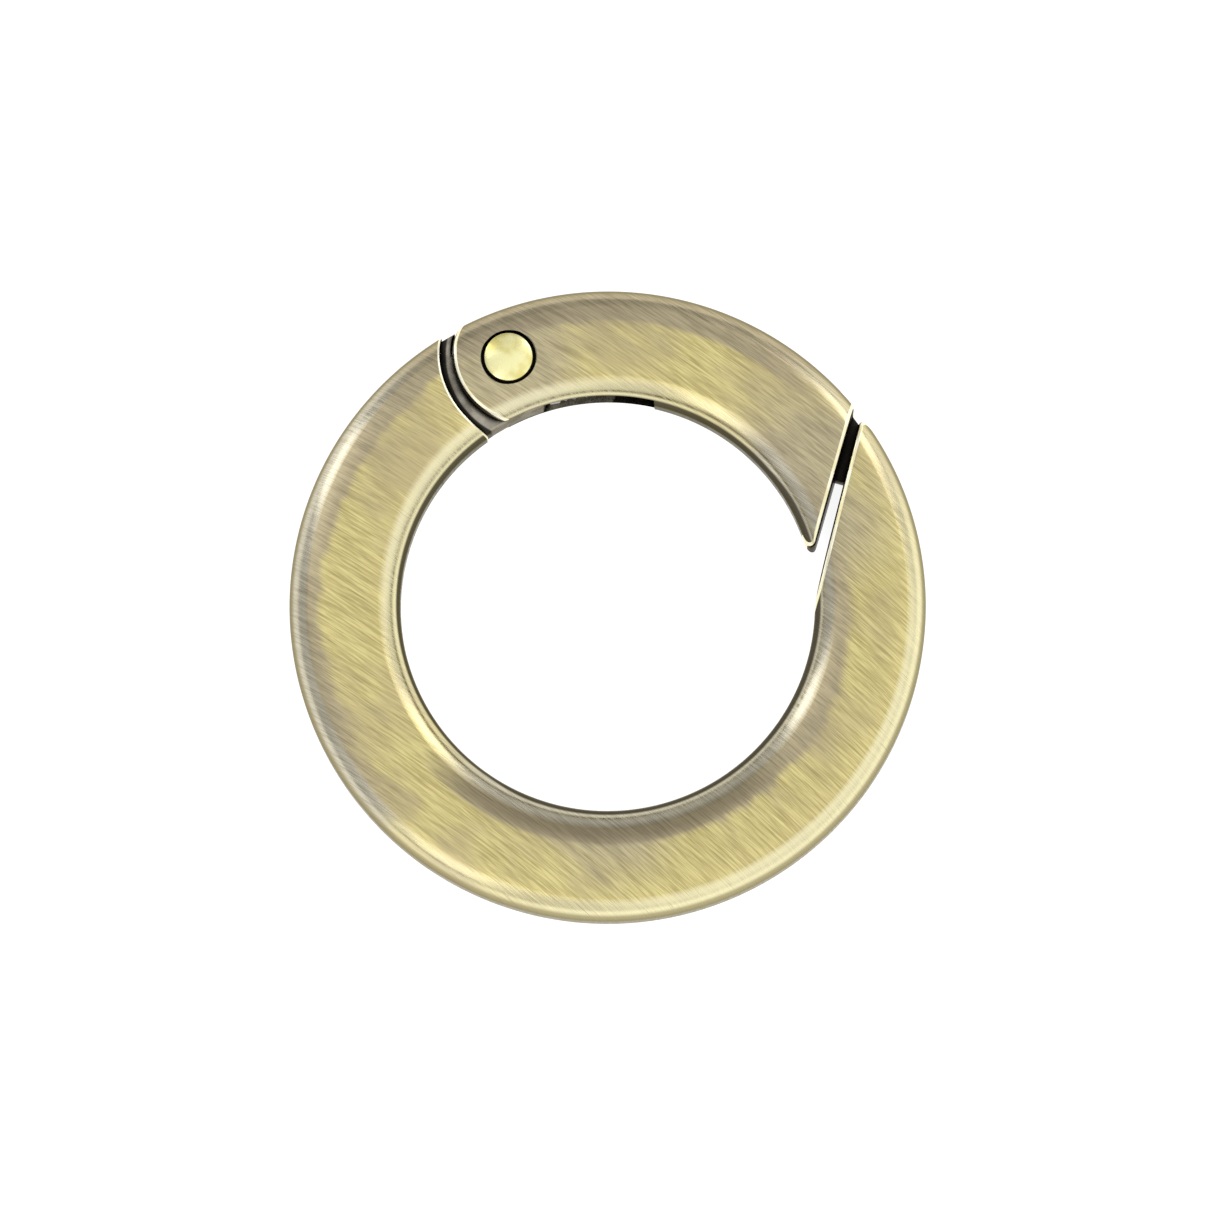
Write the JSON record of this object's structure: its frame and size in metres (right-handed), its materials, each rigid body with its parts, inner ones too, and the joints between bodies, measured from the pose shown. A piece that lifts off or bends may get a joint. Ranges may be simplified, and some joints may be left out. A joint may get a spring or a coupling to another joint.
{
  "type": "spring gate ring",
  "caption": "Round spring gate ring for keys and bag straps: a flat cast ring in brushed antique brass, with a riveted gate that swings inwards and springs shut.",
  "frame": {"origin": "centre of the ring on the plane it lies on", "axes": "+Z through the eye, up out of the face with the rivet's head; +Y across the ring towards the gate; +X towards the latch"},
  "size_m": [0.0384, 0.0384, 0.0053],
  "materials": {
    "ring_finish": "antique brass plating, brushed in one direction, satin",
    "gate_finish": "antique brass plating, brushed in one direction, satin",
    "rivet_finish": "brass plating, polished dome",
    "spring_wire": "drawn spring wire",
    "follower_steel": "turned steel"
  },
  "bodies": {
    "ring": {"ring_body": "ring_finish"},
    "gate": {"gate": "gate_finish", "hinge_rivet": "rivet_finish", "return_spring": "spring_wire"},
    "follower": {"spring_follower": "follower_steel"}
  },
  "joints": [
    {"name": "gate_swing", "type": "hinge", "parent": "ring", "child": "gate", "pos_m": [-0.00596, 0.01489, 0.0025], "axis": [0, 0, -1], "range_deg": [0, 40], "stiffness_Nm_per_rad": 0.0116, "springref_deg": -34.38},
    {"name": "follower_slide", "type": "slide", "parent": "gate", "child": "follower", "axis": [0.9848, 0.1736, 0], "range_m": [0, 0.0014], "deforming": ["return_spring"]}
  ],
  "couplings": [
    {"joint": "follower_slide", "follows": "gate_swing", "m_per_rad": 0.002}
  ]
}
